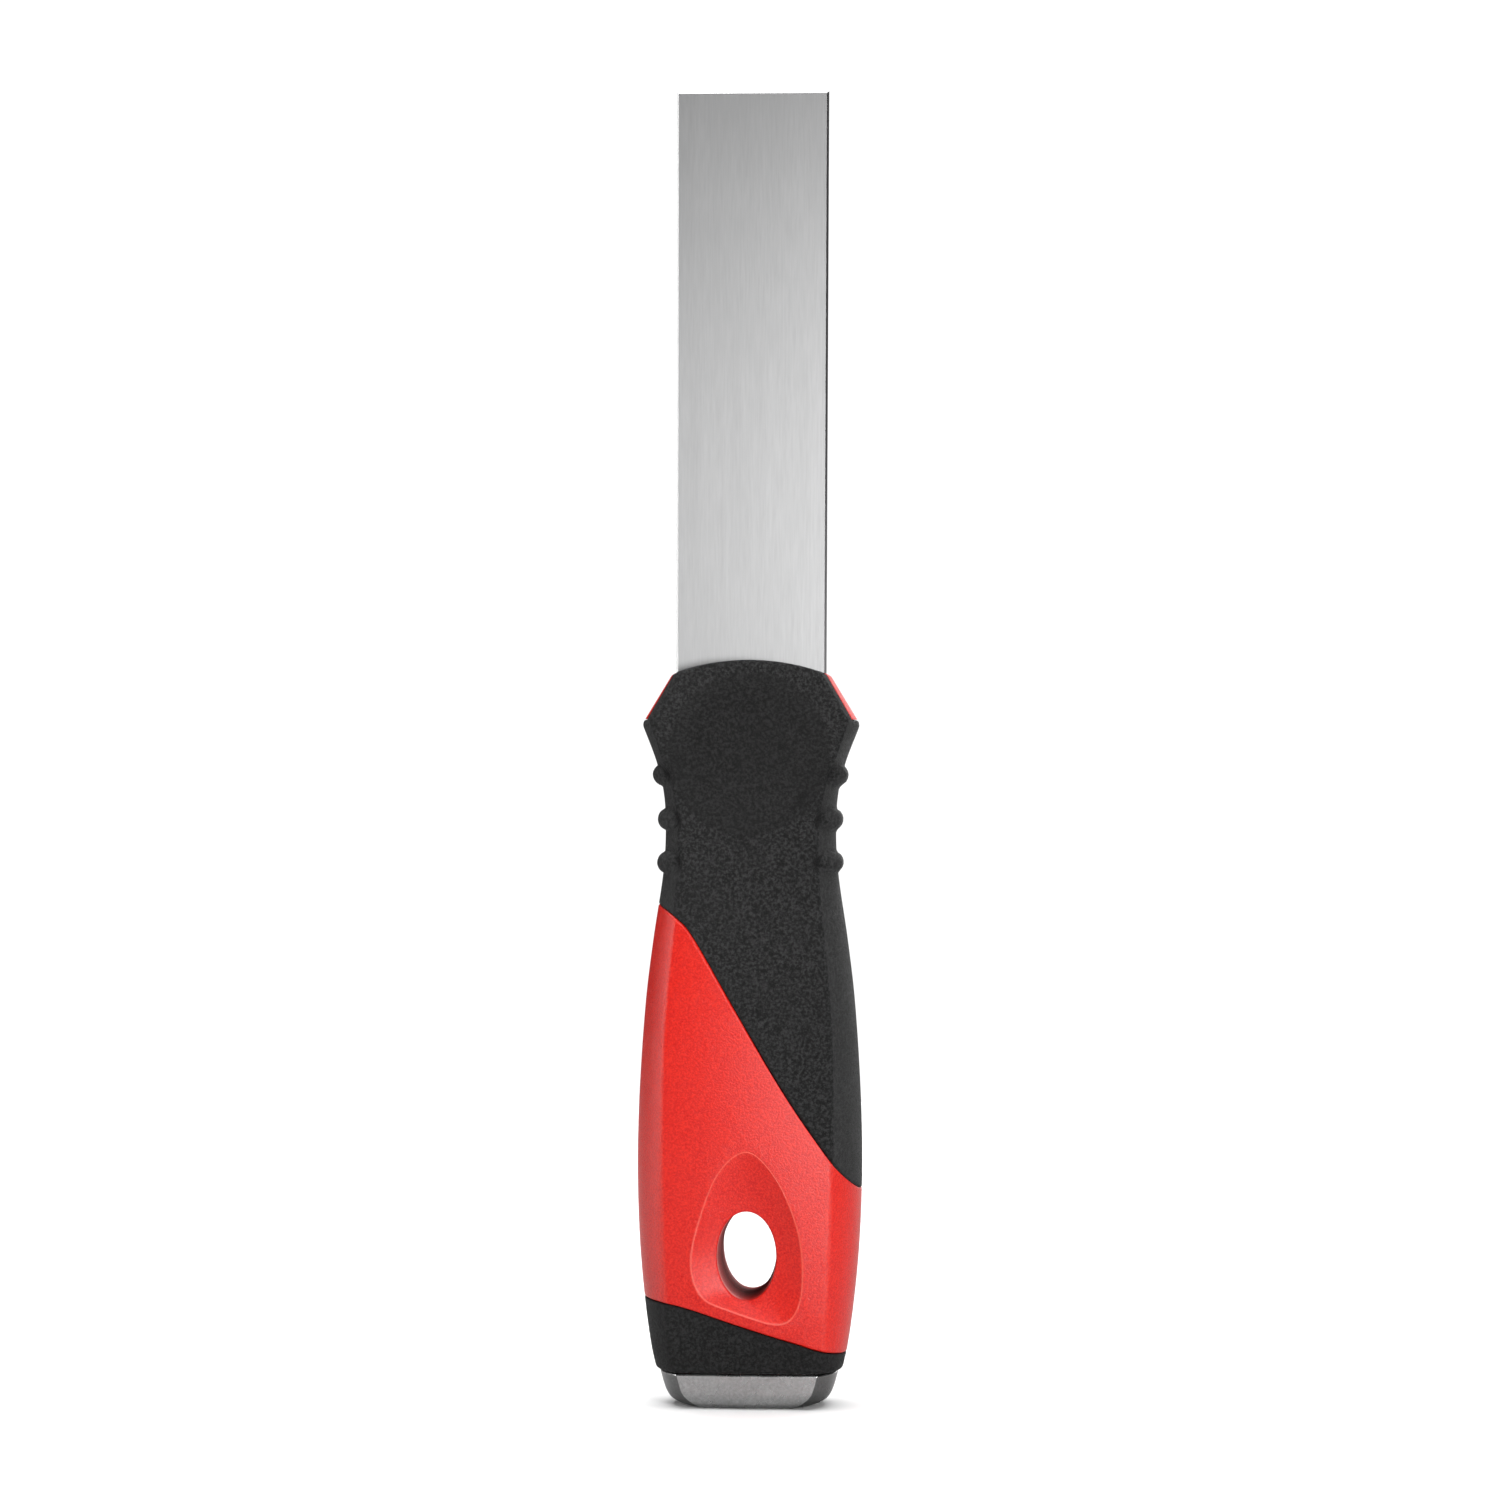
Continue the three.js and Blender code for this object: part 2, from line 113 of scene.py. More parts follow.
UPPER_SEAM = [
    (-22, 86.8), (-15.1, 83), (-11.8, 80.9), (-8.9, 77.6), (-2.15, 66.4), (5.7, 53.4), (12, 44.1),
    (16.2, 38.7), (22, 33),
]
LOWER_SEAM = [
    (-22, 18.4), (-13.8, 17.7), (-9.2, 16.7), (-2.3, 14.5), (4, 12.5), (8.7, 11.1), (12.1, 10),
    (22, 7.6),
]
RECESS_RIM = [
    (0.2, 43), (4.8, 38.9), (8.1, 31.6), (9.3, 24.6), (8.7, 17.7), (5.5, 14.5), (-2.2, 16.6),
    (-7.2, 18.9), (-9, 23.8), (-8.1, 30), (-4.6, 39.2),
]

# ---- Details that are finer than the CAD model's, in millimetres ----

SEAM_GAP = 0.1  # between the visible edges of the grips and the core
SLOT_GAP = 0.04  # between the blade and its slot
CAP_STRETCH = 1.035  # a factor that closes most of the gap between the cap and the collar

RIB_END = 1.5  # how far a rib stops short of the panel's edge
RIB_BLEND = 0.45  # fillet between a rib and the side
RIB_ROOT = 0.35  # how far the rib's middle line stays under the side
PIT_DEPTH = 0.6  # of the hollow at each rib's front end
PIT_TALL = 1.2  # its reach up and down
PIT_WIDE = 1.0  # its reach towards the front and the back
PIT_PLACE = 0.9  # from the panel's edge to the hollow's middle
PIT_SPREAD = 1.8  # from the edge of the bare shoulder to the rounding of the panel's edge

CORNER_ROUND = 0.6  # along z, either side of the shoulder's corner
EDGE_ROUND = 0.5  # from the panel's edge to where its rounding ends
HIDDEN_ROUND = 0.3  # the same on surfaces inside the handle
LIP = 0.28  # rounding of a grip's edge at a seam
FOOT_LIP = 0.6  # rounding of the collar's edge above the cap
RIM_LIP = 0.4  # rounding of the bolster's top edge
HOLE_LIP = 0.3  # rounding of the hanging hole's edge
CAP_LIP = 0.4  # rounding of the cap's edge below the collar
CAP_EDGE_ROUND = 0.12  # from the cap's long corners to where their rounding ends
PARTING_LIP = 0.12  # rounding where the core's halves meet
PARTING_HALF = 0.03  # half the gap between them
THUMB_SOFT = 0.05  # rounding of the thumb dish's rim

# ---- Fineness of the meshes, in millimetres ----

NEAR = (0, 0.03, 0.08, 0.15, 0.24, 0.36)  # rows close to an edge
PANEL_COLUMNS = 76
ROW = 0.56  # spacing of the rows along the handle
COLLAR_ROW = 0.3  # the same on the collar
HIDDEN_ROW = 1.0  # and inside the handle
TOP_ROWS = 9  # from the bolster's edge to the blade's slot
LOWEST, HIGHEST = 5.0, 126.0  # every seam lies between these heights
FAR = 9.0  # a distance at which no edge is rounded
SHARP = 38  # degrees: edges that bend more than this are shaded sharp

# ---- Painted light: how much paler (up to 1, painted highlight or sheen) or darker (down to -1, painted shade) a place is than its material ----

EDGE_BAND_PLACE = 0.16  # where the painted band along an edge is strongest, in millimetres from the edge
EDGE_BAND_WIDTH = 0.12
# painted sheen on the black grip's side faces
GRIP_SIDE_SHEEN = 0.9
PANEL_EDGE_HIGHLIGHT = 0.1  # painted highlight along the panel's rounded edges on the red band
# painted shade along the grip's seam with the red band
SEAM_SHADE = 0.6
PIT_SHADE = 1.8  # painted shade in the rib pits; past 1, because it also has to cancel the painted sheen on the grip's sides
# painted shade in the thumb dish
THUMB_SHADE = 0.5
THUMB_SHADE_EDGE = 0.6  # width of the change in painted shade at the dish's rim, in millimetres
# painted shade over the whole collar, and more along its seam
COLLAR_SHADE = 0.4
COLLAR_SEAM_SHADE = 0.5
# painted shade on the cap's side faces
CAP_SIDE_SHADE = 0.68


# ---- Curves ----


def through(pairs):
    """A smooth function through (z, value) pairs, straight past the ends."""
    z, value = np.array(pairs, float).T
    before = np.maximum(np.arange(len(z)) - 1, 0)
    after = np.minimum(np.arange(len(z)) + 1, len(z) - 1)
    slope = (value[after] - value[before]) / (z[after] - z[before])

    def at(height):
        height = np.asarray(height, float)
        i = np.clip(np.searchsorted(z, height, side="right") - 1, 0, len(z) - 2)
        h = z[i + 1] - z[i]
        t = np.clip((height - z[i]) / h, 0, 1)
        s = 1 - t
        inside = value[i] * s * s * (1 + 2 * t) + value[i + 1] * t * t * (1 + 2 * s)
        inside = inside + h * t * s * (slope[i] * s - slope[i + 1] * t)
        past = slope[0] * np.minimum(height - z[0], 0) + slope[-1] * np.maximum(height - z[-1], 0)
        return inside + past

    return at


def through_to_shoulder(pairs, end):
    """The same up to the last pair, and from there a straight line to the shoulder's end. The corner
    between them is a little rounded."""
    curve = through(pairs)
    z0, a = pairs[-1]
    slope = (end - a) / (SHOULDER_END["z"] - z0)
    rise = (a - float(curve(z0 - CORNER_ROUND))) / CORNER_ROUND

    def at(z):
        sharp = np.where(z <= z0, curve(np.minimum(z, z0)), a + slope * (z - z0))
        past = np.clip(z - z0, -CORNER_ROUND, CORNER_ROUND)
        arc = rise * past + (slope - rise) * (past + CORNER_ROUND) ** 2 / (4 * CORNER_ROUND)
        corner = np.where(past < 0, rise * past, slope * past)
        return sharp + np.where(np.abs(z - z0) < CORNER_ROUND, arc - corner, 0)

    return at


half_width_at = through_to_shoulder(HALF_WIDTH, SHOULDER_END["half_width"])
panel_half_at = through_to_shoulder(PANEL_HALF, SHOULDER_END["panel_half"])
edge_depth_at = through(EDGE_DEPTH)
crown_depth_at = through(CROWN_DEPTH)


def spline(points, closed=False, steps=24):
    """Points along a smooth curve through the given ones."""
    p = np.array(points, float)
    n = len(p)
    spans = n if closed else n - 1
    made = []
    for i in range(spans):
        around = [i - 1, i, i + 1, i + 2]
        p0, p1, p2, p3 = (p[k % n] if closed else p[min(max(k, 0), n - 1)] for k in around)
        for t in np.arange(steps) / steps:
            v0, v1 = (p2 - p0) / 2, (p3 - p1) / 2
            cubic = (2 * p1 - 2 * p2 + v0 + v1) * t**3 + (3 * p2 - 3 * p1 - 2 * v0 - v1) * t**2
            made.append(cubic + v0 * t + p1)
    if not closed:
        made.append(p[-1])
    return np.array(made)


def seam_function(points):
    """The height of a seam, as a function of x."""
    curve = spline(points)
    return lambda x: np.interp(x, curve[:, 0], curve[:, 1])


upper_seam = seam_function(UPPER_SEAM)
lower_seam = seam_function(LOWER_SEAM)


def bolster_arc(x):
    """The height of the bolster's top."""
    return BOLSTER_TOP - BOLSTER_ARC + np.sqrt(BOLSTER_ARC**2 - np.asarray(x) ** 2)


def rim_reach(angle):
    """Distance from the hole's middle to the dish's rim, at an angle from +Z towards +X."""
    curve = spline(RECESS_RIM, closed=True)
    turn = np.unwrap(np.arctan2(curve[:, 0], curve[:, 1] - HOLE_Z))
    reach = np.hypot(curve[:, 0], curve[:, 1] - HOLE_Z)
    order = np.argsort(turn % (2 * math.pi))
    return np.interp(
        angle % (2 * math.pi), (turn % (2 * math.pi))[order], reach[order], period=2 * math.pi
    )


def arc_radius(half_chord, rise):
    """Radius of the arc that rises this much over a chord."""
    return (half_chord**2 + rise**2) / (2 * rise)


def smooth_max(a, b, k):
    """The larger of a and b, with a fillet of size k where they cross."""
    h = np.clip(0.5 + 0.5 * (a - b) / k, 0, 1)
    return b + (a - b) * h + k * h * (1 - h)


def lip(distance, radius):
    """How far a rounded edge has sunk at a distance from the edge."""
    d = np.clip(np.asarray(distance, float), 0, radius)
    return radius - np.sqrt(radius**2 - (radius - d) ** 2)


def painted_edge_band(distance):
    """How strong a painted band along a rounded edge is at a distance from it: a painted highlight on the
    cap's lip, painted shade at the seams.
    """
    return np.exp(-(((distance - EDGE_BAND_PLACE) / EDGE_BAND_WIDTH) ** 2))


# ---- The handle's cross-section ----
#
# A half section has columns from the middle of the left side (x < 0, y = 0) round the front panel to
# the middle of the right side. "side" columns have q: 0 at the middle, 1 at the edge of the bare
# shoulder, 2 where the rounding of the panel's edge starts. "fillet" columns have t from 0 (side) to
# 1 (panel). "panel" columns have v from -1 to 1.

# Values of q and t, closer together where the surface bends more.
SIDE_INNER = [0, 0.01, 0.022, 0.045, 0.09, 0.16, 0.24, 0.32, 0.4, 0.48, 0.56, 0.64, 0.72, 0.8, 0.87, 0.92]
SIDE_INNER += [0.95, 0.97, 0.985]
SIDE_OUTER = [1, 1.04, 1.09, 1.16, 1.26, 1.38, 1.52, 1.68, 1.84, 2]
FILLET = [0.12, 0.26, 0.42, 0.58, 0.74, 0.88]

q_side = np.array(SIDE_INNER + SIDE_OUTER)
v_panel = np.linspace(-1, 1, PANEL_COLUMNS + 1)
KIND = np.array(
    ["side"] * len(q_side) + ["fillet"] * len(FILLET) + ["panel"] * len(v_panel)
    + ["fillet"] * len(FILLET) + ["side"] * len(q_side)
)
PARAM = np.concatenate([q_side, FILLET, v_panel, FILLET[::-1], q_side[::-1]])
HAND = np.where(np.arange(len(KIND)) < len(KIND) // 2, -1.0, 1.0)
SIDE, ROUND, PANEL = KIND == "side", KIND == "fillet", KIND == "panel"
BARE = SIDE & (PARAM <= 1)  # columns where the core shows on the shoulder
LEFT_EDGE = int(np.argmax(SIDE & (PARAM == 1)))  # the last bare column on the left
RIGHT_EDGE = len(KIND) - 1 - LEFT_EDGE
LEFT_CORNER = int(np.argmax(ROUND))
# painted sheen on the side columns of the black grip
SIDE_SHEEN = np.where(SIDE, GRIP_SIDE_SHEEN, 0)
# painted highlight along the red band's rounded panel edges
EDGE_HIGHLIGHT = np.where(ROUND, PANEL_EDGE_HIGHLIGHT * (1 - np.abs(2 * PARAM - 1)), 0)
NOTCHES = ((LEFT_EDGE, LEFT_CORNER), (RIGHT_EDGE, len(KIND) - 1 - LEFT_CORNER))


def sizes_at(z):
    """Half width, half width of the panel, and depths of the panel's edge and of its middle."""
    return half_width_at(z), panel_half_at(z), edge_depth_at(z), crown_depth_at(z)


def side_x(y, half_width, panel_half, edge):
    """Half width of the side's arc at a depth."""
    radius = arc_radius(edge, half_width - panel_half)
    return half_width - radius + np.sqrt(np.maximum(radius**2 - y**2, 0))


def panel_y(x, panel_half, edge, crown):
    """Depth of the panel's arc."""
    radius = arc_radius(panel_half, crown - edge)
    return crown - radius + np.sqrt(np.maximum(radius**2 - x**2, 0))


def side_y(z, margin):
    """Depth of the side columns, with the one at q = 1 a margin inside the panel's edge."""
    edge = edge_depth_at(z)
    inside = PARAM * (edge - margin)
    outside = edge - margin + (PARAM - 1) * (margin - EDGE_ROUND)
    return np.where(PARAM <= 1, inside, outside)


def thumb_face(x, z):
    """Depth of the thumb dish's surface."""
    sphere = arc_radius(THUMB_RADIUS, THUMB_DEPTH)
    dz = z - THUMB_Z
    bowl = sphere - np.sqrt(np.maximum(sphere**2 - x**2 - dz**2, 1))
    return crown_depth_at(THUMB_Z) - THUMB_DEPTH + bowl - dz * math.tan(THUMB_TILT)


def with_ribs(x, y, z):
    """The side's half width with the finger ribs on it."""
    out = x
    for height, reach in RIBS:
        straight = edge_depth_at(height) - RIB_END - RIB_RADIUS
        off = np.hypot(z - height, np.maximum(y - straight, 0))
        middle = np.minimum(reach - RIB_RADIUS, x - RIB_ROOT)
        bulge = middle + np.sqrt(np.maximum(RIB_RADIUS**2 - off**2, 0))
        rib = np.where(off < RIB_RADIUS, bulge, 0)
        out = np.where(np.abs(z - height) < 2 * RIB_RADIUS, smooth_max(out, rib, RIB_BLEND), out)
    return out


def section(z, sizes, y_side, corner, edit_side=None, edit_panel=None):
    """Points (rows, columns, 3) of half sections with rounded panel edges."""
    half_width, panel_half, edge, crown = sizes
    x_side = side_x(y_side, half_width, panel_half, edge)
    if edit_side is not None:
        x_side = np.where(SIDE, edit_side(x_side, y_side), x_side)
    x_panel = np.where(PANEL, PARAM, 0) * (panel_half - corner)
    y_panel = panel_y(x_panel, panel_half, edge, crown)
    if edit_panel is not None:
        y_panel = edit_panel(x_panel, y_panel)
    ax = side_x(edge - corner, half_width, panel_half, edge)
    ay = edge - corner
    bx = panel_half - corner
    by = panel_y(bx, panel_half, edge, crown)
    t = np.where(ROUND, PARAM, 0)
    x_round = (1 - t) ** 2 * ax + 2 * t * (1 - t) * panel_half + t**2 * bx
    y_round = (1 - t) ** 2 * ay + 2 * t * (1 - t) * edge + t**2 * by
    x = np.where(SIDE, HAND * x_side, np.where(ROUND, HAND * x_round, x_panel))
    y = np.where(SIDE, y_side, np.where(ROUND, y_round, y_panel))
    return np.stack(np.broadcast_arrays(x, -y, z), -1).astype(float)


def even_side(edge, corner):
    """Depth of the side columns, spread over the whole side."""
    return np.where(SIDE, PARAM / 2, 0) * (edge - corner)


def outer(z, sink=0.0, margin=SHOULDER_SKIN, thumb=False, ribs=False):
    """The handle's surface at heights z (rows, columns), sunk by some depth."""
    sizes = [size - sink for size in sizes_at(z)]
    y_side = np.where(SIDE, side_y(z, margin), 0)

    def with_thumb(x, y):
        return -smooth_max(-y, -(thumb_face(x, z) - sink), THUMB_SOFT)

    return section(
        z, sizes, y_side, EDGE_ROUND,
        (lambda x, y: with_ribs(x, y, z)) if ribs else None,
        with_thumb if thumb else None,
    )


def inner(z, inset, sizes=sizes_at):
    """The same surface taken in by inset, where it is hidden."""
    sizes = [size - inset for size in sizes(z)]
    return section(z, sizes, even_side(sizes[2], HIDDEN_ROUND), HIDDEN_ROUND)


def meet(curve, surface):
    """Height at which each column of a surface reaches curve(x)."""
    low, high = np.full(len(KIND), LOWEST), np.full(len(KIND), HIGHEST)
    for _ in range(40):
        mid = (low + high) / 2
        under = mid < curve(surface(mid[None, :])[0, :, 0])
        low, high = np.where(under, mid, low), np.where(under, high, mid)
    return (low + high) / 2


def lean(z, surface):
    """How much longer a step along z is than a step square to the line through heights z."""
    points = surface(z[None, :])[0]
    step = np.hypot(np.gradient(points[:, 0]), np.gradient(points[:, 1]))
    slope = np.gradient(z) / np.maximum(step, 1e-6)
    return np.sqrt(1 + np.minimum(np.abs(slope), 3) ** 2)


def rows(z0, z1, lean0=1.0, lean1=1.0, near0=NEAR, near1=NEAR, row=ROW):
    """Heights (rows, columns) from z0 to z1, closer together near the ends, and the distances of
    each row from both ends, measured square to the end."""
    z0, z1 = np.broadcast_arrays(np.asarray(z0, float), np.asarray(z1, float))
    count = max(2, int(np.max(z1 - z0) / row))
    start = [z0 + d * lean0 for d in near0]
    finish = [z1 - d * lean1 for d in reversed(near1)]
    middle = [start[-1] + (finish[0] - start[-1]) * k / count for k in range(1, count)]
    z = np.array(start + middle + finish)
    return z, (z - z0) / lean0, (z1 - z) / lean1


# ---- Meshes ----


class Shell:
    """Points and faces of a piece while it is being made."""

    def __init__(self):
        self.points = []
        self.painted_light = []
        self.faces = []
        self.count = 0

    def grid(self, points, keep=None, painted_light=0.0):
        """Adds a sheet of quads through points (rows, columns, 3). keep picks the cells. The last
        argument says how much paler (painted highlight or sheen) or darker (painted shade, if negative)
        the surface is at each point."""
        n_rows, n_columns = points.shape[:2]
        index = self.count + np.arange(n_rows * n_columns).reshape(n_rows, n_columns)
        quads = np.stack([index[:-1, :-1], index[:-1, 1:], index[1:, 1:], index[1:, :-1]], -1)
        quads = quads.reshape(-1, 4) if keep is None else quads[keep]
        self.points.append(points.reshape(-1, 3))
        self.painted_light.append(np.broadcast_to(painted_light, points.shape[:2]).reshape(-1))
        self.faces.append(quads)
        self.count += n_rows * n_columns

    def between(self, first, last, fractions=(0, 1)):
        """Adds a sheet from one line of points to another."""
        f = np.array(fractions)[:, None, None]
        self.grid(first[None] * (1 - f) + last[None] * f)


def mirror(points):
    """Front to back."""
    return points * np.array([1, -1, 1])


def finish_mesh(name, shell, material, halves="both", fill=False):
    """Makes an object from a shell of the front half. halves: both joins it with its mirror image,
    front or back keeps one. fill closes it with a flat face on the mid-plane."""
    points = np.concatenate(shell.points)
    painted_light = np.concatenate(shell.painted_light)
    faces = np.concatenate(shell.faces)
    if halves == "back":
        points = mirror(points)
    if halves == "both":
        faces = np.concatenate([faces, faces[:, ::-1] + len(points)])
        points = np.concatenate([points, mirror(points)])
        painted_light = np.concatenate([painted_light, painted_light])
    mesh = bpy.data.meshes.new(name)
    mesh.from_pydata((points * MM).tolist(), [], faces.tolist())
    # the painted highlights and painted shade travel with each point as an attribute
    mesh.attributes.new("painted_light", "FLOAT", "POINT").data.foreach_set("value", painted_light.astype(np.float32))
    bm = bmesh.new()
    bm.from_mesh(mesh)
    bmesh.ops.remove_doubles(bm, verts=bm.verts, dist=MERGE)
    bmesh.ops.dissolve_degenerate(bm, dist=MERGE, edges=bm.edges)
    if fill:
        open_edges = [e for e in bm.edges if e.is_boundary]
        bmesh.ops.triangle_fill(bm, use_beauty=True, edges=open_edges, normal=(0, 1, 0))
    bmesh.ops.recalc_face_normals(bm, faces=bm.faces)
    bm.to_mesh(mesh)
    bm.free()
    mesh.shade_smooth()
    mesh.set_sharp_from_angle(angle=math.radians(SHARP))
    piece = bpy.data.objects.new(name, mesh)
    bpy.context.scene.collection.objects.link(piece)
    mesh.materials.append(material)
    return piece


# ---- Materials ----


class Nodes:
    """A new material and short calls to make its nodes."""

    def __init__(self, name):
        self.material = bpy.data.materials.new(name)
        self.material.use_nodes = True
        self.tree = self.material.node_tree
        self.shader = self.tree.nodes["Principled BSDF"]
        self.place = self.make("ShaderNodeTexCoord").outputs["Object"]

    def make(self, kind, **values):
        node = self.tree.nodes.new(kind)
        for key, value in values.items():
            setattr(node, key, value)
        return node

    def link(self, output, socket):
        self.tree.links.new(output, socket)

    def stretched(self, scale):
        """The place on the object, scaled along each axis."""
        node = self.make("ShaderNodeMapping")
        node.inputs["Scale"].default_value = scale
        self.link(self.place, node.inputs["Vector"])
        return node.outputs["Vector"]

    def noise(self, size, detail=2.0, rough=0.5, vector=None):
        """Noise with features about size millimetres across."""
        node = self.make("ShaderNodeTexNoise")
        node.inputs["Scale"].default_value = 1 / (size * MM)
        node.inputs["Detail"].default_value = detail
        node.inputs["Roughness"].default_value = rough
        self.link(vector or self.place, node.inputs["Vector"])
        return node.outputs["Fac"]

    def ramp(self, value, stops):
        """A colour that follows value through (position, colour) stops."""
        node = self.make("ShaderNodeValToRGB")
        elements = node.color_ramp.elements
        while len(elements) < len(stops):
            elements.new(0.5)
        for element, (position, colour) in zip(elements, stops):
            element.position = position
            element.color = (*colour, 1)
        self.link(value, node.inputs["Fac"])
        return node.outputs["Color"]

    def range(self, value, low, high, out_low, out_high):
        """Maps value from low..high to out_low..out_high and stops at the ends."""
        node = self.make("ShaderNodeMapRange")
        for key, number in (("From Min", low), ("From Max", high), ("To Min", out_low), ("To Max", out_high)):
            node.inputs[key].default_value = number
        self.link(value, node.inputs["Value"])
        return node.outputs["Result"]

    def mix(self, factor, a, b):
        """Colour a, and as much of colour b as the factor says."""
        node = self.make("ShaderNodeMix", data_type="RGBA")
        self.link(factor, node.inputs["Factor"])
        for key, colour in (("A", a), ("B", b)):
            socket = [s for s in node.inputs if s.name == key and s.type == "RGBA"][0]
            if isinstance(colour, tuple):
                socket.default_value = (*colour, 1)
            else:
                self.link(colour, socket)
        return [s for s in node.outputs if s.type == "RGBA"][0]

    def highlight_factor(self, most):
        """A factor that rises to most where the mesh's painted light is positive: painted highlights and
        sheen.
        """
        painted_light = self.make("ShaderNodeAttribute", attribute_name="painted_light")
        return self.range(painted_light.outputs["Fac"], 0.0, 1.0, 0.0, most)

    def shade_factor(self, most):
        """A factor that rises to most where the mesh's painted light is negative: painted shade."""
        painted_light = self.make("ShaderNodeAttribute", attribute_name="painted_light")
        return self.range(painted_light.outputs["Fac"], 0.0, -1.0, 0.0, most)

    def bump(self, height, strength, depth):
        """A fine relief, at most depth millimetres deep."""
        node = self.make("ShaderNodeBump")
        node.inputs["Strength"].default_value = strength
        node.inputs["Distance"].default_value = depth * MM
        self.link(height, node.inputs["Height"])
        return node.outputs["Normal"]

    def finish(self, colour, roughness, normal, metallic=0.0, specular=0.5):
        self.link(colour, self.shader.inputs["Base Color"])
        self.link(roughness, self.shader.inputs["Roughness"])
        self.link(normal, self.shader.inputs["Normal"])
        self.shader.inputs["Metallic"].default_value = metallic
        self.shader.inputs["Specular IOR Level"].default_value = specular
        return self.material


def black_rubber():
    """Near-black soft rubber with a fine grain, paler under painted sheen and highlights, darker under
    painted shade.
    """
    n = Nodes("black_rubber_grained")
    grain = n.noise(0.5, detail=4, rough=0.75)
    patch = n.noise(9, detail=3)
    colour = n.ramp(grain, [(0.44, (0.001, 0.001, 0.001)), (0.6, (0.032, 0.032, 0.0325))])
    dusty = n.mix(n.range(patch, 0.35, 0.75, 0.0, 0.3), colour, (0.014, 0.014, 0.0142))
    # painted highlight and sheen, then painted shade
    highlighted = n.mix(n.highlight_factor(0.3), dusty, (0.06, 0.06, 0.06))
    shaded = n.mix(n.shade_factor(0.9), highlighted, (0.004, 0.004, 0.004))
    roughness = n.range(patch, 0.3, 0.7, 0.5, 0.6)
    normal = n.bump(grain, 1.0, 0.4)
    return n.finish(shaded, roughness, normal, specular=0.2)


def red_plastic():
    """Grained red plastic with painted highlights and painted shade; it loses its gloss under the painted
    shade.
    """
    n = Nodes("red_plastic_grained")
    grain = n.noise(0.34, detail=4, rough=0.7)
    patch = n.noise(14, detail=2)
    colour = n.ramp(grain, [(0.42, (0.53, 0.002, 0.001)), (0.6, (0.72, 0.019, 0.008))])
    faded = n.mix(n.range(patch, 0.35, 0.75, 0.0, 0.2), colour, (0.72, 0.022, 0.010))
    # painted highlight, then painted shade
    highlighted = n.mix(n.highlight_factor(0.5), faded, (0.90, 0.16, 0.11))
    shaded = n.mix(n.shade_factor(0.93), highlighted, (0.05, 0.004, 0.004))
    smooth = n.range(grain, 0.3, 0.7, 0.27, 0.34)
    roughness = n.mix(n.shade_factor(1.0), smooth, (0.85, 0.85, 0.85))
    normal = n.bump(grain, 1.0, 0.1)
    return n.finish(shaded, roughness, normal, specular=0.48)


def brushed_steel():
    """Steel brushed along the blade, so that its reflections spread across it."""
    n = Nodes("blade_steel_brushed")
    lines = n.noise(0.3, detail=3, rough=0.6, vector=n.stretched((1, 1, 0.05)))
    long_lines = n.noise(0.9, detail=2, rough=0.5, vector=n.stretched((1, 1, 0.02)))
    broad = n.noise(26, detail=2)
    colour = n.ramp(lines, [(0.35, (0.375, 0.375, 0.377)), (0.65, (0.415, 0.415, 0.417))])
    toned = n.mix(n.range(broad, 0.35, 0.7, 0.0, 0.3), colour, (0.38, 0.38, 0.382))
    roughness = n.range(long_lines, 0.3, 0.7, 0.345, 0.36)
    normal = n.bump(lines, 0.1, 0.004)
    along_blade = n.make("ShaderNodeTangent", direction_type="RADIAL", axis="X")
    n.link(along_blade.outputs["Tangent"], n.shader.inputs["Tangent"])
    n.shader.inputs["Anisotropic"].default_value = 0.7
    n.shader.inputs["Anisotropic Rotation"].default_value = 0.25
    return n.finish(toned, roughness, normal, metallic=1.0)


def cap_steel():
    """Satin steel, with a painted highlight on the lip below the collar and painted shade on the cap's side
    faces.
    """
    n = Nodes("cap_steel_satin")
    grain = n.noise(0.45, detail=4, rough=0.65)
    broad = n.noise(4, detail=3)
    colour = n.ramp(grain, [(0.3, (0.44, 0.44, 0.44)), (0.7, (0.68, 0.68, 0.68))])
    toned = n.mix(n.range(broad, 0.35, 0.7, 0.0, 0.4), colour, (0.5, 0.5, 0.5))
    # painted highlight on the lip, then painted shade on the side faces
    highlighted = n.mix(n.highlight_factor(0.8), toned, (0.95, 0.95, 0.95))
    shaded = n.mix(n.shade_factor(1.0), highlighted, (0.04, 0.04, 0.04))
    roughness = n.range(broad, 0.3, 0.7, 0.2, 0.32)
    normal = n.bump(grain, 0.4, 0.03)
    return n.finish(shaded, roughness, normal, metallic=1.0)


def rivet_steel():
    """Plain steel for the two hidden rivets."""
    n = Nodes("rivet_steel_plain")
    grain = n.noise(0.4, detail=3)
    colour = n.ramp(grain, [(0.3, (0.4, 0.4, 0.4)), (0.7, (0.55, 0.55, 0.55))])
    return n.finish(colour, n.range(grain, 0.3, 0.7, 0.35, 0.5), n.bump(grain, 0.2, 0.02), metallic=1.0)


# ---- Pieces of the handle ----


def rear_grip_shell():
    """The collar between the cap and the core's red band."""
    shell = Shell()
    top = meet(lower_seam, outer)
    tilt = lean(top, outer)
    top = top - SEAM_GAP * tilt
    z, from_foot, from_seam = rows(np.full(len(KIND), HANDLE_FOOT), top, lean1=tilt, row=COLLAR_ROW)
    sink = np.maximum(lip(from_foot, FOOT_LIP), lip(from_seam, LIP))
    outside, inside = outer(z, sink), inner(z, SKIN - CLEARANCE)
    # painted shade over the whole collar, deeper along the seam
    shell.grid(outside, painted_light=-COLLAR_SHADE - COLLAR_SEAM_SHADE * painted_edge_band(from_seam))
    shell.grid(inside)
    shell.between(outside[0], inside[0])
    shell.between(outside[-1], inside[-1])
    return shell


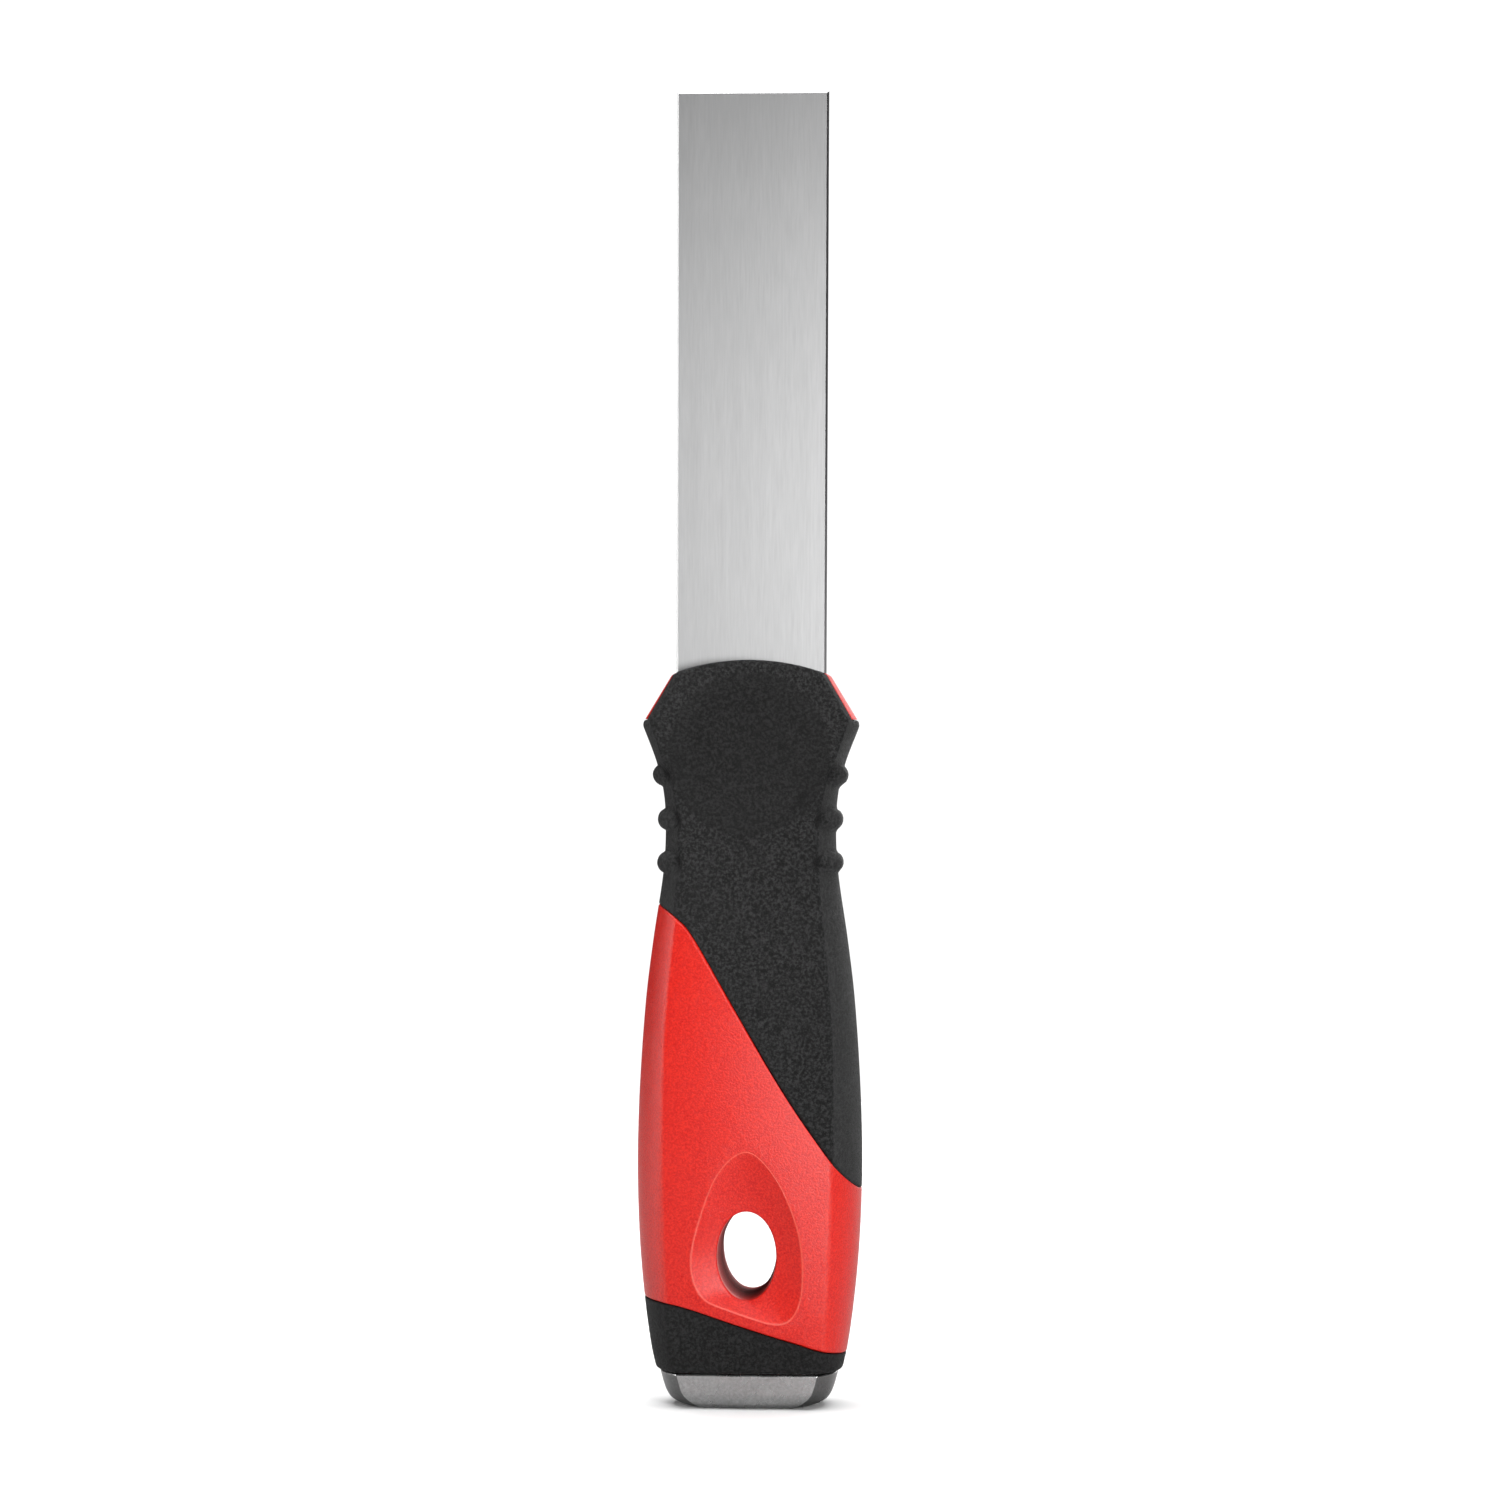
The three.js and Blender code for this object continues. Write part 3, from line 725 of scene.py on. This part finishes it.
def front_grip_shell():
    """The skin from the upper seam to the bolster's top, open on the shoulders."""
    shell = Shell()
    margin = SHOULDER_SKIN - SEAM_GAP
    inset = SKIN - CLEARANCE
    bottom = meet(upper_seam, outer)
    tilt = lean(bottom, outer)
    bottom = bottom + SEAM_GAP * tilt
    ledge = np.full(len(KIND), BARE_SHOULDER_Z - SEAM_GAP)

    def past_notch(z):
        """Distance of the side columns from the edge of the bare shoulder."""
        return np.where(SIDE, np.maximum(side_y(z, margin) - (edge_depth_at(z) - margin), 0), FAR)

    # below the ledges, all round
    z, from_seam, to_ledge = rows(bottom, ledge, lean0=tilt)
    sink = np.maximum(lip(from_seam, LIP), lip(np.hypot(to_ledge, past_notch(z)), LIP))
    sink = sink + rib_pits(z)
    low_out = outer(z, sink, margin, thumb=True, ribs=True)
    low_in = inner(z, inset)
    # painted shade along the seam, in the rib pits and in the thumb dish, taken off the painted sheen on the
    # sides
    shade_paint = SEAM_SHADE * painted_edge_band(from_seam) + pit_shade(z) + dish_shade(low_out)
    shell.grid(low_out, painted_light=SIDE_SHEEN - shade_paint)
    shell.grid(low_in)
    shell.between(low_out[0], low_in[0])

    # above them, only in front
    top = meet(bolster_arc, outer)
    z, _, from_top = rows(ledge, top, near0=(0,))
    sink = np.maximum(lip(from_top, RIM_LIP), lip(past_notch(z), LIP))
    high_out = outer(z, sink, margin, thumb=True)
    high_in = inner(z, inset)
    high_in[..., 2] = np.minimum(high_in[..., 2], bolster_arc(high_in[..., 0]) - inset)
    for notch, corner in NOTCHES:
        level_between(high_in, notch, corner, high_out[:, notch], high_in[:, corner])
    part = slice(LEFT_EDGE, RIGHT_EDGE + 1)
    # painted shade in the thumb dish
    shell.grid(high_out[:, part], painted_light=-dish_shade(high_out)[:, part])
    shell.grid(high_in[:, part])

    # the top, as far as the blade's slot
    thick = np.full(len(KIND), inset)
    thick[[LEFT_EDGE, RIGHT_EDGE]] = 0
    slot = slot_line()
    slot[:, 2] = bolster_arc(slot[:, 0])
    under_slot = slot - thick[:, None] * np.array([0, 0, 1])
    shell.grid(on_arc(high_out[-1], slot, 0)[:, part])
    shell.grid(on_arc(high_in[-1], under_slot, thick)[:, part])
    shell.between(slot[part], under_slot[part])

    # the ledge under each bare shoulder
    for columns in (slice(0, LEFT_EDGE + 1), slice(RIGHT_EDGE, None)):
        shell.between(low_out[-1, columns], low_in[-1, columns])
    for notch, corner in NOTCHES:
        columns = slice(min(notch, corner), max(notch, corner) + 1)
        shell.between(high_in[0, columns], low_in[-1, columns])
    return shell


def on_arc(first, last, drop):
    """A sheet between two lines, at a depth under the bolster's curved top."""
    f = np.linspace(0, 1, TOP_ROWS)[:, None, None]
    sheet = first * (1 - f) + last * f
    sheet[1:-1, :, 2] = (bolster_arc(sheet[..., 0]) - drop)[1:-1]
    return sheet


def level_between(points, notch, corner, first, last):
    """Puts the columns from a notch's edge to the panel's corner on straight lines between them."""
    count = abs(corner - notch)
    for k in range(count + 1):
        column = notch + k * (1 if corner > notch else -1)
        points[:, column] = first + (last - first) * k / count


def rib_pits(z):
    """Small hollows between the front end of each rib and the panel's edge."""
    on_round = np.where(ROUND, EDGE_ROUND * (1 - 2 * PARAM), -FAR)
    reach = np.where(SIDE, (2 - PARAM) * PIT_SPREAD + EDGE_ROUND, on_round)
    depth = 0
    for height, _ in RIBS:
        off = np.hypot((z - height) / PIT_TALL, (reach - PIT_PLACE) / PIT_WIDE)
        depth = depth + PIT_DEPTH * np.exp(-(off**2))
    return depth


def pit_shade(z):
    """Painted shade in the hollows: how much darker they are than the rest."""
    return PIT_SHADE * rib_pits(z) / PIT_DEPTH


def dish_shade(points):
    """Painted shade in the thumb dish: how much darker it is than the rest of the panel."""
    reach = np.hypot(points[..., 0], points[..., 2] - THUMB_Z)
    return np.where(PANEL, THUMB_SHADE * np.clip((THUMB_RADIUS - reach) / THUMB_SHADE_EDGE, 0, 1), 0)


def cap_wall_sizes(bottom, top):
    """The sizes of the cap's straight wall, spread between two heights."""
    low, high = CAP_RINGS[-2:]

    def at(z):
        t = (z - bottom) / (top - bottom)
        return tuple(a + (b - a) * t for a, b in zip(low[1:], high[1:]))

    return at


def core_shell():
    """One half of the red core: its foot, its band, the part under the skin and the shoulders."""
    shell = Shell()
    low_seam = meet(lower_seam, outer)
    high_seam = meet(upper_seam, outer)
    low_tilt = lean(low_seam, outer)
    high_tilt = lean(high_seam, outer)

    # the foot in the cap
    z = np.linspace(CORE_FOOT, HANDLE_FOOT, 3)[:, None] * np.ones(len(KIND))
    foot_sizes = cap_wall_sizes(CORE_FOOT, HANDLE_FOOT)
    foot = closed_at_middle(inner(z, CAP_WALL + CLEARANCE, foot_sizes))
    shell.between(on_middle(foot[0]), foot[0])
    shell.grid(foot)

    # under the collar
    z, _, _ = rows(np.full(len(KIND), HANDLE_FOOT), low_seam, near0=(0,), near1=(0,), row=HIDDEN_ROW)
    under_collar = closed_at_middle(inner(z, SKIN))
    shell.between(foot[-1], under_collar[0])
    shell.grid(under_collar)

    # the band
    z, from_low, from_high = rows(low_seam, high_seam, low_tilt, high_tilt)
    sink = np.maximum(lip(from_low, LIP), lip(from_high, LIP))
    sink = np.maximum(sink, middle_groove(z))
    band = closed_at_middle(outer(z, sink))
    shell.between(under_collar[-1], band[0])
    keep = hole_patch(shell, band, z)
    # painted highlight along the panel's rounded edges
    shell.grid(band, keep=keep, painted_light=EDGE_HIGHLIGHT)

    # under the skin, up to the ledge
    z, _, _ = rows(high_seam, np.full(len(KIND), BARE_SHOULDER_Z), near0=(0,), near1=(0,), row=HIDDEN_ROW)
    under_skin = closed_at_middle(inner(z, SKIN))
    shell.between(band[-1], under_skin[0])
    shell.grid(under_skin)

    # the bolster
    top = meet(bolster_arc, outer)
    z, _, from_top = rows(np.full(len(KIND), BARE_SHOULDER_Z), top, near0=(0,))
    sink = np.maximum(lip(from_top, LIP), middle_groove(z))
    flush = closed_at_middle(outer(z, sink))
    bolster = closed_at_middle(inner(z, SKIN))
    bolster[:, BARE] = flush[:, BARE]
    for notch, corner in NOTCHES:
        level_between(bolster, notch, corner, flush[:, notch], bolster[:, corner])
    drop = np.where(BARE, 0, SKIN)
    bolster[..., 2] = np.minimum(bolster[..., 2], bolster_arc(bolster[..., 0]) - drop)
    shell.grid(bolster)
    shell.between(bolster[0], under_skin[-1])

    # the top face, with the slot that the blade comes out of
    slot = slot_line()
    rim = slot.copy()
    rim[:, 2] = bolster_arc(rim[:, 0]) - drop
    shell.grid(on_arc(bolster[-1], rim, drop))
    shell.between(rim, slot, np.linspace(0, 1, 4))
    shell.between(slot, on_middle(slot))
    return shell


def closed_at_middle(points):
    """Moves the columns on the mid-plane so that the halves don't touch."""
    points[..., 1] = np.minimum(points[..., 1], -PARTING_HALF)
    return points


def on_middle(points):
    """The same points on the half's flat face."""
    flat = points.copy()
    flat[:, 1] = -PARTING_HALF
    return flat


def middle_groove(z):
    """How far the core's side sinks towards the line where the halves meet."""
    depth = np.where(SIDE, side_y(z, SHOULDER_SKIN), FAR)
    return lip(depth, PARTING_LIP)


def slot_line():
    """The front half of the blade's slot at its bottom, one point for each column."""
    half, deep = BLADE_HALF + SLOT_GAP, BLADE_THICKNESS / 2 + SLOT_GAP
    share = np.where(SIDE, np.minimum(PARAM / 2, 1), 1)
    x = np.where(PANEL, PARAM * half, HAND * half)
    y = -np.maximum(share * deep, PARTING_HALF)
    return np.stack([x, y, np.full(len(KIND), SLOT_DEPTH_Z)], -1)


# ---- The hanging hole and its dish ----

PATCH_V = 0.8  # the patch's share of the panel's width
PATCH_TOP = 0.78  # and of the band's height
PATCH_FOOT = 1.0  # its distance above the lower seam
MOUTH_DEPTH = 9.0  # where the hole starts in the middle of the dish, from the mid-plane
PATCH_RINGS = 8  # between the band's grid and the rim
DISH_RINGS = 21
LIP_RINGS = 7
WALL_RINGS = 15
# Rings along the rim: distance outside it, how far the rounded edge has sunk, and how strong the painted
# highlight on it is.
RIM_RINGS = [
    (0.25, 0, 0), (0.15, 0.01, 0.35), (0.06, 0.03, 0.7), (0, 0.055, 1), (-0.08, 0, 0.7), (-0.2, 0, 0.2),
]
PARTING_RINGS = (0.08, PARTING_HALF)  # depths of the last rings, which round the wall's inner edge


def face_depth(x, z):
    """Depth of the panel before the dish is taken out."""
    return panel_y(x, panel_half_at(z), edge_depth_at(z), crown_depth_at(z))


def hole_patch(shell, band, z):
    """Replaces part of the band's front with rings round the hole. Returns the cells to keep."""
    columns = np.where(PANEL & (np.abs(PARAM) <= PATCH_V))[0]
    i0, i1 = columns[0], columns[-1]
    middle = len(KIND) // 2
    height = z[:, middle] - z[0, middle]
    j0 = int(np.searchsorted(height, PATCH_FOOT))
    j1 = int(np.searchsorted(height, PATCH_TOP * height[-1]))
    loop = np.concatenate([
        band[j0, i0:i1], band[j0:j1, i1], band[j1, i1:i0:-1], band[j1:j0:-1, i0], band[j0, i0 : i0 + 1],
    ])
    angle = np.arctan2(loop[:, 0], loop[:, 2] - HOLE_Z)
    rim = rim_reach(angle)
    ray = np.stack([np.sin(angle), np.cos(angle)], -1)

    def mouth(depth):
        """Distance from the hole's middle to its wall along each ray."""
        taken = HOLE_DRAFT * (1 - depth / crown_depth_at(HOLE_Z))
        a, b = HOLE_HALF[0] - taken, HOLE_HALF[1] - taken
        return 1 / np.hypot(ray[:, 0] / a, ray[:, 1] / b)

    def dish(reach, share):
        """x, height and depth at a distance along each ray. share is 0 at the hole, 1 at the rim."""
        x = ray[:, 0] * reach
        height = HOLE_Z + ray[:, 1] * reach
        depth = RECESS_DEPTH * (1 - np.clip(share, 0, 1) ** RECESS_CURVE)
        return x, height, face_depth(x, height) - depth

    start = mouth(MOUTH_DEPTH)
    rim_first = rim + RIM_RINGS[0][0]
    rim_last = rim + RIM_RINGS[-1][0]
    sheet = []

    def add_ring(x, height, y):
        sheet.append(np.stack([x, -y, height], -1))

    # from the grid in to the rim
    outside = np.hypot(loop[:, 0], loop[:, 2] - HOLE_Z)
    for f in np.linspace(0, 1, PATCH_RINGS + 1)[:-1]:
        add_ring(*dish(outside + (rim_first - outside) * f, 1))
    # over the rim and down the dish
    for off, sunk, _ in RIM_RINGS:
        x, height, y = dish(rim + off, (rim + off - start) / (rim - start))
        add_ring(x, height, y - sunk)
    for share in np.linspace(1, 0, DISH_RINGS + 1)[:-1]:
        from_mouth = HOLE_LIP + (rim_last - start - HOLE_LIP) * share
        add_ring(*dish(start + from_mouth, from_mouth / (rim - start)))
    # the rounded edge of the hole
    for off in HOLE_LIP * (1 - np.sin(np.linspace(0, math.pi / 2, LIP_RINGS))):
        x, height, y = dish(start + off, off / (rim - start))
        add_ring(x, height, y - lip(np.full(len(y), off), HOLE_LIP))
    # its wall down to the mid-plane
    lowest = -sheet[-1][:, 1]
    for f in np.linspace(0, 1, WALL_RINGS + 1)[1:]:
        depth = lowest + (PARTING_LIP - lowest) * f
        reach = mouth(depth)
        add_ring(ray[:, 0] * reach, HOLE_Z + ray[:, 1] * reach, depth)
    for depth in PARTING_RINGS:
        reach = mouth(depth) + lip(depth, PARTING_LIP)
        add_ring(ray[:, 0] * reach, HOLE_Z + ray[:, 1] * reach, np.full(len(reach), depth))
    sheet = np.array(sheet)
    sheet[0] = loop

    # painted highlight on the rim, and painted shade on the wall, deeper towards the mid-plane
    painted_light = np.zeros((len(sheet), 1))
    painted_light[PATCH_RINGS : PATCH_RINGS + len(RIM_RINGS), 0] = [rim_highlight for _, _, rim_highlight in RIM_RINGS]
    wall_end = len(sheet) - len(PARTING_RINGS)
    painted_light[wall_end - WALL_RINGS : wall_end, 0] = -np.sqrt(np.linspace(0, 1, WALL_RINGS))
    shell.grid(sheet, painted_light=painted_light)

    keep = np.ones((band.shape[0] - 1, band.shape[1] - 1), bool)
    keep[j0:j1, i0:i1] = False
    return keep


# ---- The cap ----

CAP_ROWS = 48  # up its outside
CAP_LIP_ROWS = 8  # round its edge below the collar


def cap_shell():
    """A cup round the core's foot, rounded towards the striking face and at its lip."""
    shell = Shell()
    ring_table = np.array(CAP_RINGS, float)
    run = np.hypot(np.diff(ring_table[:, 0]), np.diff(ring_table[:, 1]))
    path = np.concatenate([[0], np.cumsum(run)])
    curves = [through(list(zip(path, column))) for column in ring_table.T]
    wall = np.linspace(0, path[-1], CAP_ROWS)
    lip_start = path[-1] - CAP_LIP
    round_lip = lip_start + CAP_LIP * np.sin(np.linspace(0, math.pi / 2, CAP_LIP_ROWS))
    along = np.concatenate([wall[wall < lip_start], round_lip])
    sink = lip(path[-1] - along, CAP_LIP)

    def sizes_on_path(z):
        return tuple(np.broadcast_to(curve(along)[:, None], z.shape) for curve in curves[1:])

    z = curves[0](along)[:, None] * np.ones(len(KIND)) * CAP_STRETCH
    sizes = [size - sink[:, None] for size in sizes_on_path(z)]
    outside = section(z, sizes, even_side(sizes[2], CAP_EDGE_ROUND), CAP_EDGE_ROUND)

    z = np.linspace(CAP_HEIGHT * CAP_STRETCH, CAP_FLOOR, 6)[:, None] * np.ones(len(KIND))
    inside = inner(z, CAP_WALL, cap_wall_sizes(CAP_FLOOR, CAP_HEIGHT))
    shell.between(outside[0] * 0, outside[0], np.linspace(0, 1, 8))
    # painted highlight along the lip below the collar, painted shade on the side faces
    shell.grid(outside, painted_light=painted_edge_band(path[-1] - along)[:, None] - np.where(PANEL, 0, CAP_SIDE_SHADE))
    shell.between(outside[-1], inside[0], (0, 0.5, 1))
    shell.grid(inside)
    shell.between(inside[-1], inside[-1] * np.array([0, 0, 1]))
    return shell


# ---- Assembly ----

RUBBER = black_rubber()
RED = red_plastic()
BLADE_STEEL = brushed_steel()
CAP_STEEL = cap_steel()
RIVET_STEEL = rivet_steel()


def stand_for(piece, node):
    """Puts a finished piece in place of a CAD node."""
    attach(piece, "root")
    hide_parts(node)


def keep_node(node, material):
    """Gives a CAD node, whose shape is right, a finished material."""
    mesh = bpy.data.objects[node].data
    mesh.materials.clear()
    mesh.materials.append(material)


stand_for(finish_mesh("front_grip_skin", front_grip_shell(), RUBBER), "front_grip")
stand_for(finish_mesh("rear_grip_collar", rear_grip_shell(), RUBBER), "rear_grip")
stand_for(finish_mesh("cap_cup", cap_shell(), CAP_STEEL), "striking_cap")
core = core_shell()
for side in ("front", "back"):
    half = finish_mesh(f"core_{side}_half", core, RED, halves=side, fill=True)
    stand_for(half, f"core_{side}_shell")
for name in ("tang_rivet_upper", "tang_rivet_lower"):
    keep_node(name, RIVET_STEEL)
keep_node("blade", BLADE_STEEL)

# ---- Floor, light and camera ----


def floor(seen, bounced):
    """A pale round floor, a little larger than the camera sees, that throws less light back."""
    steps, radius = 96, 0.6
    around = [2 * math.pi * i / steps for i in range(steps)]
    corners = [(radius * math.cos(a), radius * math.sin(a), 0) for a in around]
    mesh = bpy.data.meshes.new("floor")
    mesh.from_pydata(corners, [], [tuple(range(steps))])
    paint = bpy.data.materials.new("floor_paint")
    paint.use_nodes = True
    tree = paint.node_tree
    mix = tree.nodes.new("ShaderNodeMixShader")
    tree.links.new(tree.nodes.new("ShaderNodeLightPath").outputs["Is Camera Ray"], mix.inputs["Fac"])
    for socket, grey in ((1, bounced), (2, seen)):
        diffuse = tree.nodes.new("ShaderNodeBsdfDiffuse")
        diffuse.inputs["Color"].default_value = (grey, grey, grey, 1)
        tree.links.new(diffuse.outputs["BSDF"], mix.inputs[socket])
    tree.links.new(mix.outputs["Shader"], tree.nodes["Material Output"].inputs["Surface"])
    mesh.materials.append(paint)
    made = bpy.data.objects.new("floor", mesh)
    bpy.context.scene.collection.objects.link(made)


def softbox(name, place, target, size, power):
    """A rectangular light that the camera doesn't see, aimed at target."""
    light = bpy.data.lights.new(name, "AREA")
    light.shape = "RECTANGLE"
    light.size, light.size_y = size
    light.energy = power
    made = bpy.data.objects.new(name, light)
    made.location = place
    aim = Vector(target) - Vector(place)
    made.rotation_euler = aim.to_track_quat("-Z", "Y").to_euler()
    made.visible_camera = False
    bpy.context.scene.collection.objects.link(made)


def surroundings(seen, behind, front, side):
    """White behind everything the camera sees. The object is lit from behind and more softly from
    the front, and less from the sides and from above."""
    world = bpy.data.worlds.new("studio")
    world.use_nodes = True
    tree = world.node_tree
    lit = tree.nodes["Background"]
    white = tree.nodes.new("ShaderNodeBackground")
    white.inputs["Color"].default_value = (1, 1, 1, 1)
    white.inputs["Strength"].default_value = seen

    def make_range(value, low, high, out_low, out_high):
        node = tree.nodes.new("ShaderNodeMapRange")
        node.interpolation_type = "SMOOTHSTEP"
        for key, number in (("From Min", low), ("From Max", high), ("To Min", out_low), ("To Max", out_high)):
            node.inputs[key].default_value = number
        tree.links.new(value, node.inputs["Value"])
        return node.outputs["Result"]

    def make_math(operation, a, b):
        node = tree.nodes.new("ShaderNodeMath")
        node.operation = operation
        tree.links.new(a, node.inputs[0])
        tree.links.new(b, node.inputs[1])
        return node.outputs["Value"]

    direction = tree.nodes.new("ShaderNodeSeparateXYZ")
    tree.links.new(tree.nodes.new("ShaderNodeTexCoord").outputs["Generated"], direction.inputs["Vector"])
    ahead = make_range(direction.outputs["Y"], -0.85, -0.2, front, side)
    high = make_range(direction.outputs["Z"], 0.02, 0.4, 1.0, 0.5)
    back = make_range(direction.outputs["Y"], 0.1, 0.6, 0.0, behind)
    strength = make_math("MAXIMUM", make_math("MULTIPLY", ahead, high), back)
    tree.links.new(strength, lit.inputs["Strength"])
    path = tree.nodes.new("ShaderNodeLightPath")
    mix = tree.nodes.new("ShaderNodeMixShader")
    tree.links.new(path.outputs["Is Camera Ray"], mix.inputs["Fac"])
    tree.links.new(lit.outputs["Background"], mix.inputs[1])
    tree.links.new(white.outputs["Background"], mix.inputs[2])
    tree.links.new(mix.outputs["Shader"], tree.nodes["World Output"].inputs["Surface"])
    bpy.context.scene.world = world


def camera():
    """The photo's camera: level, a little to the right of the knife's front."""
    distance = 0.70
    azimuth = math.radians(3.5)
    aim_height = 0.1088
    aside = -0.0002
    frame_width = 0.24983  # metres across the picture at the knife
    roll = math.radians(0.17)
    data = bpy.data.cameras.new("camera")
    data.sensor_width = 36
    data.lens = data.sensor_width * distance / frame_width
    data.clip_start = 0.01
    made = bpy.data.objects.new("camera", data)
    right = Vector((math.cos(azimuth), math.sin(azimuth), 0))
    back = Vector((math.sin(azimuth), -math.cos(azimuth), 0))
    made.location = back * distance + right * aside + Vector((0, 0, aim_height))
    made.rotation_euler = (math.pi / 2, 0, azimuth)
    made.rotation_euler.rotate_axis("Z", roll)
    bpy.context.scene.collection.objects.link(made)
    bpy.context.scene.camera = made


floor(seen=0.9, bounced=0.4)
surroundings(seen=1.1, behind=1.0, front=0.08, side=0.3)
softbox("overhead", (0, 0.1, 1.3), (0, 0, 0), (1.6, 1.6), 36)
softbox("fill_left", (-0.75, -0.05, 0.15), (0, 0, 0.08), (0.3, 0.6), 3)
softbox("key_back", (0.3, 0.85, 0.2), (0, 0, 0.1), (0.5, 0.7), 1.4)
softbox("key_right", (0.42, -0.76, 0.155), (0, 0, 0.1), (0.18, 0.36), 7.4)
camera()
bpy.context.scene.view_settings.view_transform = "Standard"
